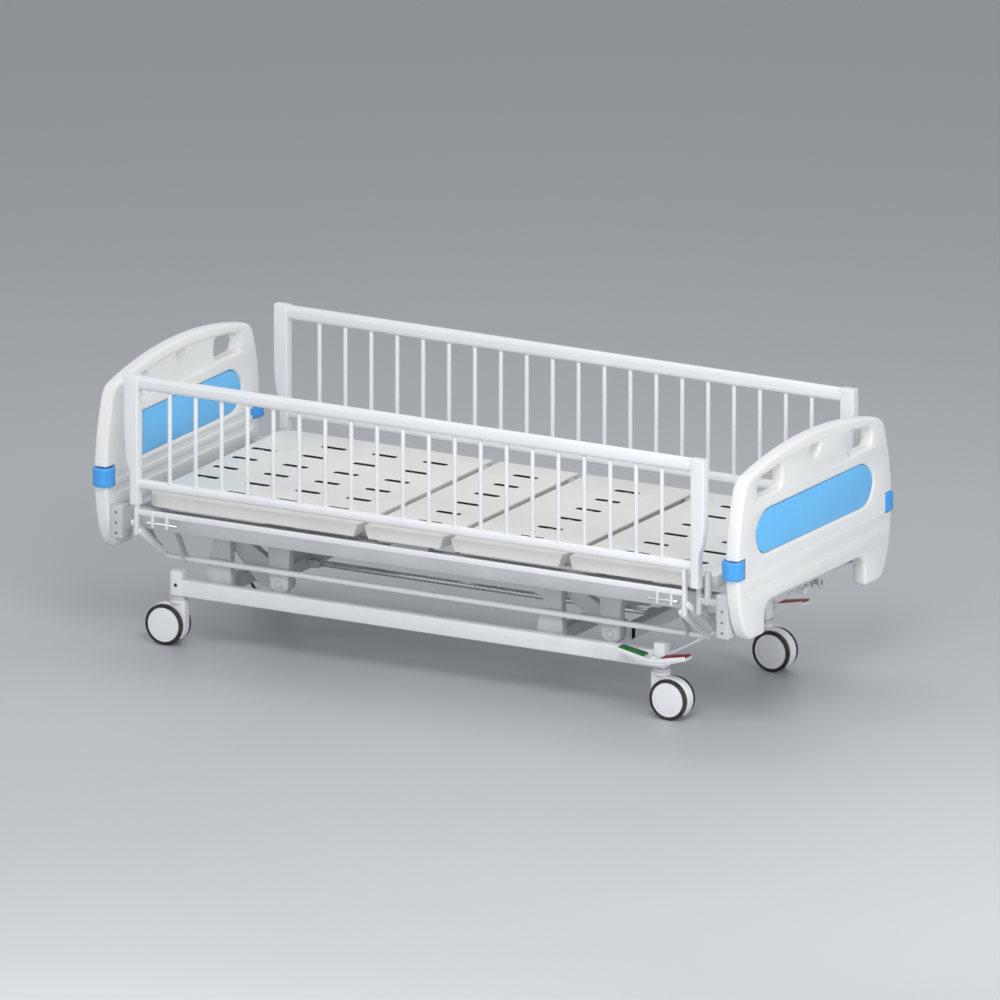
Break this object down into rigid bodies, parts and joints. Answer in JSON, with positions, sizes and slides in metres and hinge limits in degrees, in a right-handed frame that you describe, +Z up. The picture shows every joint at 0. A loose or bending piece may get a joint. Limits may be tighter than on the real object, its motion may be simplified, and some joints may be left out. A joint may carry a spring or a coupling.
{
  "type": "hospital bed",
  "caption": "Hand-cranked hospital bed with a jointed deck, height linkage, folding side rails and braked castors.",
  "frame": {"origin": "on the floor under the middle of the bed", "axes": "+X towards the foot end, +Y towards the patient's left side, +Z up"},
  "size_m": [2.206, 0.964, 0.862],
  "materials": {
    "white_steel": "white powder coat",
    "grey_steel": "light grey powder coat",
    "bright_steel": "bright zinc",
    "white_plastic": "warm white moulded, satin",
    "blue_plastic": "sky blue moulded, satin",
    "black_tread": "black tread",
    "red_plastic": "red moulded",
    "green_plastic": "green moulded"
  },
  "bodies": {
    "base": {"base_side_left": "white_steel", "base_side_right": "white_steel", "base_cross_head": "white_steel", "base_cross_foot": "white_steel"},
    "lift_arm_head": {"lift_arm_head": "white_steel"},
    "lift_arm_foot": {"lift_arm_foot": "white_steel"},
    "lift_link": {"lift_link": "bright_steel"},
    "frame": {"frame_side_left": "grey_steel", "frame_side_right": "grey_steel", "frame_end_head": "grey_steel", "frame_end_foot": "grey_steel", "frame_cross_head": "grey_steel", "frame_cross_foot": "grey_steel", "frame_seat": "grey_steel", "deck_seat": "white_steel", "board_head": "white_plastic", "board_foot": "white_plastic", "panel_head": "blue_plastic", "panel_foot": "blue_plastic", "bumper_head_left": "blue_plastic", "bumper_head_right": "blue_plastic", "bumper_foot_left": "blue_plastic", "bumper_foot_right": "blue_plastic"},
    "back_section": {"deck_back": "white_steel", "frame_back": "grey_steel"},
    "thigh_section": {"deck_thigh": "white_steel", "frame_thigh": "grey_steel"},
    "calf_section": {"deck_calf": "white_steel", "frame_calf": "grey_steel"},
    "brake": {"brake_bar": "white_steel", "brake_pad_green_left": "green_plastic", "brake_pad_green_right": "green_plastic", "brake_pad_red_left": "red_plastic", "brake_pad_red_right": "red_plastic"},
    "push_back": {"push_tube_back": "bright_steel"},
    "crank_back": {"crank_back": "white_steel"},
    "push_knee": {"push_tube_knee": "bright_steel"},
    "crank_knee": {"crank_knee": "white_steel"},
    "push_lift": {"push_tube_lift": "bright_steel"},
    "crank_lift": {"crank_lift": "white_steel"},
    "rail_tube_left": {"rail_tube_left": "white_steel"},
    "side_rail_left": {"side_rail_left": "white_steel"},
    "rail_arm_head_left": {"rail_arm_head_left": "white_steel"},
    "release_head_left": {"release_head_left": "grey_steel"},
    "rail_arm_foot_left": {"rail_arm_foot_left": "white_steel"},
    "release_foot_left": {"release_foot_left": "grey_steel"},
    "rail_tube_right": {"rail_tube_right": "white_steel"},
    "side_rail_right": {"side_rail_right": "white_steel"},
    "rail_arm_head_right": {"rail_arm_head_right": "white_steel"},
    "release_head_right": {"release_head_right": "grey_steel"},
    "rail_arm_foot_right": {"rail_arm_foot_right": "white_steel"},
    "release_foot_right": {"release_foot_right": "grey_steel"},
    "castor_fork_head_left": {"castor_fork_head_left": "white_plastic"},
    "castor_wheels_head_left": {"castor_wheels_head_left": "black_tread"},
    "castor_fork_head_right": {"castor_fork_head_right": "white_plastic"},
    "castor_wheels_head_right": {"castor_wheels_head_right": "black_tread"},
    "castor_fork_foot_left": {"castor_fork_foot_left": "white_plastic"},
    "castor_wheels_foot_left": {"castor_wheels_foot_left": "black_tread"},
    "castor_fork_foot_right": {"castor_fork_foot_right": "white_plastic"},
    "castor_wheels_foot_right": {"castor_wheels_foot_right": "black_tread"}
  },
  "joints": [
    {"name": "lift", "type": "hinge", "parent": "base", "child": "lift_arm_head", "pos_m": [-0.765, 0, 0.345], "axis": [0, -1, 0], "range_deg": [0, 82]},
    {"name": "lift_foot", "type": "hinge", "parent": "base", "child": "lift_arm_foot", "pos_m": [0.361, 0, 0.345], "axis": [0, -1, 0], "range_deg": [0, 82]},
    {"name": "lift_frame", "type": "hinge", "parent": "lift_arm_head", "child": "frame", "pos_m": [-0.57282, 0, 0.21683], "axis": [0, -1, 0], "range_deg": [-82, 0]},
    {"name": "lift_link", "type": "hinge", "parent": "lift_arm_head", "child": "lift_link", "pos_m": [-0.58982, 0, 0.21683], "axis": [0, -1, 0], "range_deg": [-82, 0]},
    {"name": "back", "type": "hinge", "parent": "frame", "child": "back_section", "pos_m": [-0.218, 0, 0.476], "axis": [0, 1, 0], "range_deg": [0, 70]},
    {"name": "knee", "type": "hinge", "parent": "frame", "child": "thigh_section", "pos_m": [0.075, 0, 0.476], "axis": [0, -1, 0], "range_deg": [0, 35]},
    {"name": "calf", "type": "hinge", "parent": "thigh_section", "child": "calf_section", "pos_m": [0.478, 0, 0.476], "axis": [0, -1, 0], "range_deg": [-62.3, 0]},
    {"name": "push_back", "type": "slide", "parent": "frame", "child": "push_back", "axis": [-1, 0, 0], "range_m": [0, 0.17782]},
    {"name": "crank_back", "type": "hinge", "parent": "frame", "child": "crank_back", "pos_m": [0.965, -0.18, 0.33], "axis": [1, 0, 0], "continuous": true},
    {"name": "push_knee", "type": "slide", "parent": "frame", "child": "push_knee", "axis": [1, 0, 0], "range_m": [0, 0.09022]},
    {"name": "crank_knee", "type": "hinge", "parent": "frame", "child": "crank_knee", "pos_m": [0.965, 0.18, 0.33], "axis": [1, 0, 0], "continuous": true},
    {"name": "push_lift", "type": "slide", "parent": "frame", "child": "push_lift", "axis": [-1, 0, 0], "range_m": [0, 0.1181]},
    {"name": "crank_lift", "type": "hinge", "parent": "frame", "child": "crank_lift", "pos_m": [0.965, 0, 0.352], "axis": [1, 0, 0], "continuous": true},
    {"name": "rail_left", "type": "hinge", "parent": "frame", "child": "rail_tube_left", "pos_m": [-0.9545, 0.29, 0.262], "axis": [-1, 0, 0], "range_deg": [0, 64]},
    {"name": "rail_level_left", "type": "hinge", "parent": "rail_tube_left", "child": "side_rail_left", "pos_m": [-0.9545, 0.451, 0.374], "axis": [-1, 0, 0], "range_deg": [-64, 0]},
    {"name": "rail_arm_head_left", "type": "hinge", "parent": "frame", "child": "rail_arm_head_left", "pos_m": [-0.9545, 0.29, 0.287], "axis": [-1, 0, 0], "range_deg": [0, 64]},
    {"name": "release_head_left", "type": "slide", "parent": "side_rail_left", "child": "release_head_left", "axis": [1, 0, 0], "range_m": [0, 0.012]},
    {"name": "rail_arm_foot_left", "type": "hinge", "parent": "frame", "child": "rail_arm_foot_left", "pos_m": [0.906, 0.29, 0.287], "axis": [-1, 0, 0], "range_deg": [0, 64]},
    {"name": "release_foot_left", "type": "slide", "parent": "side_rail_left", "child": "release_foot_left", "axis": [-1, 0, 0], "range_m": [0, 0.012]},
    {"name": "rail_right", "type": "hinge", "parent": "frame", "child": "rail_tube_right", "pos_m": [-0.9545, -0.29, 0.262], "axis": [1, 0, 0], "range_deg": [0, 64]},
    {"name": "rail_level_right", "type": "hinge", "parent": "rail_tube_right", "child": "side_rail_right", "pos_m": [-0.9545, -0.451, 0.374], "axis": [1, 0, 0], "range_deg": [-64, 0]},
    {"name": "rail_arm_head_right", "type": "hinge", "parent": "frame", "child": "rail_arm_head_right", "pos_m": [-0.9545, -0.29, 0.287], "axis": [1, 0, 0], "range_deg": [0, 64]},
    {"name": "release_head_right", "type": "slide", "parent": "side_rail_right", "child": "release_head_right", "axis": [1, 0, 0], "range_m": [0, 0.012]},
    {"name": "rail_arm_foot_right", "type": "hinge", "parent": "frame", "child": "rail_arm_foot_right", "pos_m": [0.906, -0.29, 0.287], "axis": [1, 0, 0], "range_deg": [0, 64]},
    {"name": "release_foot_right", "type": "slide", "parent": "side_rail_right", "child": "release_foot_right", "axis": [-1, 0, 0], "range_m": [0, 0.012]},
    {"name": "brake", "type": "hinge", "parent": "base", "child": "brake", "pos_m": [0.749, 0, 0.184], "axis": [0, 1, 0], "range_deg": [-12, 12]},
    {"name": "swivel_head_left", "type": "hinge", "parent": "base", "child": "castor_fork_head_left", "pos_m": [-0.893, 0.31, 0.152], "axis": [0, 0, 1], "continuous": true},
    {"name": "roll_head_left", "type": "hinge", "parent": "castor_fork_head_left", "child": "castor_wheels_head_left", "pos_m": [-0.928, 0.31, 0.0625], "axis": [0, 1, 0], "continuous": true},
    {"name": "swivel_head_right", "type": "hinge", "parent": "base", "child": "castor_fork_head_right", "pos_m": [-0.893, -0.31, 0.152], "axis": [0, 0, 1], "continuous": true},
    {"name": "roll_head_right", "type": "hinge", "parent": "castor_fork_head_right", "child": "castor_wheels_head_right", "pos_m": [-0.928, -0.31, 0.0625], "axis": [0, 1, 0], "continuous": true},
    {"name": "swivel_foot_left", "type": "hinge", "parent": "base", "child": "castor_fork_foot_left", "pos_m": [0.749, 0.31, 0.152], "axis": [0, 0, 1], "continuous": true},
    {"name": "roll_foot_left", "type": "hinge", "parent": "castor_fork_foot_left", "child": "castor_wheels_foot_left", "pos_m": [0.784, 0.31, 0.0625], "axis": [0, 1, 0], "continuous": true},
    {"name": "swivel_foot_right", "type": "hinge", "parent": "base", "child": "castor_fork_foot_right", "pos_m": [0.749, -0.31, 0.152], "axis": [0, 0, 1], "continuous": true},
    {"name": "roll_foot_right", "type": "hinge", "parent": "castor_fork_foot_right", "child": "castor_wheels_foot_right", "pos_m": [0.784, -0.31, 0.0625], "axis": [0, 1, 0], "continuous": true}
  ],
  "couplings": [
    {"joint": "lift_foot", "follows": "lift", "ratio": 1},
    {"joint": "lift_frame", "follows": "lift", "ratio": -1},
    {"joint": "lift_link", "follows": "lift", "ratio": -1},
    {"joint": "calf", "follows": "knee", "ratio": -1.78},
    {"joint": "push_back", "follows": "back", "m_per_rad": 0.14554},
    {"joint": "push_knee", "follows": "knee", "m_per_rad": 0.14768},
    {"joint": "push_lift", "follows": "lift", "m_per_rad": 0.082513},
    {"joint": "rail_level_left", "follows": "rail_left", "ratio": -1},
    {"joint": "rail_arm_head_left", "follows": "rail_left", "ratio": 1},
    {"joint": "rail_arm_foot_left", "follows": "rail_left", "ratio": 1},
    {"joint": "rail_level_right", "follows": "rail_right", "ratio": -1},
    {"joint": "rail_arm_head_right", "follows": "rail_right", "ratio": 1},
    {"joint": "rail_arm_foot_right", "follows": "rail_right", "ratio": 1}
  ]
}
